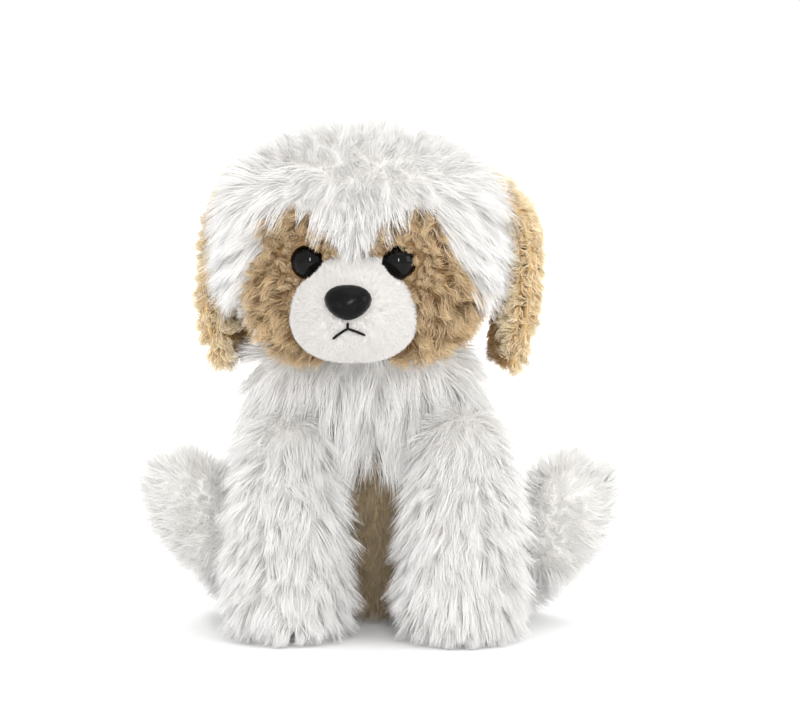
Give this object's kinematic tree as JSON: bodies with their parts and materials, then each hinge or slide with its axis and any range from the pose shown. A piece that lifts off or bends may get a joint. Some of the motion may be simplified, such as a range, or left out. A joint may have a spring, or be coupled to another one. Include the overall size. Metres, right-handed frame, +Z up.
{
  "type": "plush puppy",
  "caption": "Seated plush puppy with long white fur, tan ears and eye patches, glossy eyes and a moulded nose; head, ears, legs and tail bend at their seams.",
  "frame": {"origin": "middle of the flat seat, on the surface that the toy sits on", "axes": "+Z up, the dog faces -Y, its left side is +X"},
  "size_m": [0.2523, 0.2519, 0.2587],
  "materials": {
    "long_fur": "long shaggy pile",
    "short_fur": "short fluffy pile",
    "clipped_fur": "clipped velour pile",
    "tan_fur": "curly pile",
    "tan_lining": "smooth short pile",
    "beige_fur": "short pile",
    "stuffing": "loose polyester fibre",
    "pouch_cloth": "plain weave bag of pellets",
    "thread": "twisted embroidery thread",
    "eye_plastic": "polished",
    "nose_plastic": "satin",
    "washer_plastic": "moulded"
  },
  "bodies": {
    "torso": {"torso_cover": "long_fur", "belly_panel": "beige_fur", "torso_stuffing": "stuffing", "pellet_pouch": "pouch_cloth"},
    "head": {"head_cover": "long_fur", "head_stuffing": "stuffing", "cheek_patch_left": "tan_fur", "cheek_patch_right": "tan_fur", "muzzle_cover": "clipped_fur", "muzzle_stuffing": "stuffing", "mouth_stitch": "thread", "eye_left": "eye_plastic", "eye_right": "eye_plastic", "eye_washer_left": "washer_plastic", "eye_washer_right": "washer_plastic", "nose": "nose_plastic", "nose_washer": "washer_plastic"},
    "ear_left": {"ear_left_fur": "tan_fur", "ear_left_lining": "tan_lining"},
    "ear_right": {"ear_right_fur": "tan_fur", "ear_right_lining": "tan_lining"},
    "front_leg_left": {"front_leg_left_cover": "long_fur", "front_leg_left_stuffing": "stuffing"},
    "front_leg_right": {"front_leg_right_cover": "long_fur", "front_leg_right_stuffing": "stuffing"},
    "hind_leg_left": {"hind_leg_left_cover": "short_fur", "hind_leg_left_stuffing": "stuffing", "hind_sole_left": "clipped_fur"},
    "hind_leg_right": {"hind_leg_right_cover": "short_fur", "hind_leg_right_stuffing": "stuffing", "hind_sole_right": "clipped_fur"},
    "tail": {"tail_cover": "short_fur", "tail_stuffing": "stuffing"}
  },
  "joints": [
    {"name": "head_turn", "type": "hinge", "parent": "torso", "child": "head", "pos_m": [-0.009, -0.029, 0.142], "axis": [0, 0, 1], "range_deg": [-20, 20], "stiffness_Nm_per_rad": 0.1},
    {"name": "ear_left_flap", "type": "hinge", "parent": "head", "child": "ear_left", "pos_m": [0.05375, -0.02, 0.23], "axis": [0, -1, 0], "range_deg": [0, 70]},
    {"name": "ear_right_flap", "type": "hinge", "parent": "head", "child": "ear_right", "pos_m": [-0.07175, -0.02, 0.23], "axis": [0, 1, 0], "range_deg": [0, 70]},
    {"name": "front_leg_left_swing", "type": "hinge", "parent": "torso", "child": "front_leg_left", "pos_m": [0.043, -0.054, 0.095], "axis": [-1, 0, 0], "range_deg": [0, 40], "stiffness_Nm_per_rad": 0.05},
    {"name": "front_leg_right_swing", "type": "hinge", "parent": "torso", "child": "front_leg_right", "pos_m": [-0.043, -0.054, 0.095], "axis": [-1, 0, 0], "range_deg": [0, 40], "stiffness_Nm_per_rad": 0.05},
    {"name": "hind_leg_left_splay", "type": "hinge", "parent": "torso", "child": "hind_leg_left", "pos_m": [0.063, 0.002, 0.0315], "axis": [0, 0, 1], "range_deg": [0, 25], "stiffness_Nm_per_rad": 0.05},
    {"name": "hind_leg_right_splay", "type": "hinge", "parent": "torso", "child": "hind_leg_right", "pos_m": [-0.063, 0.002, 0.0315], "axis": [0, 0, -1], "range_deg": [0, 25], "stiffness_Nm_per_rad": 0.05},
    {"name": "tail_wag", "type": "hinge", "parent": "torso", "child": "tail", "pos_m": [0, 0.047, 0.036], "axis": [0, 0, 1], "range_deg": [-30, 30], "stiffness_Nm_per_rad": 0.02}
  ]
}
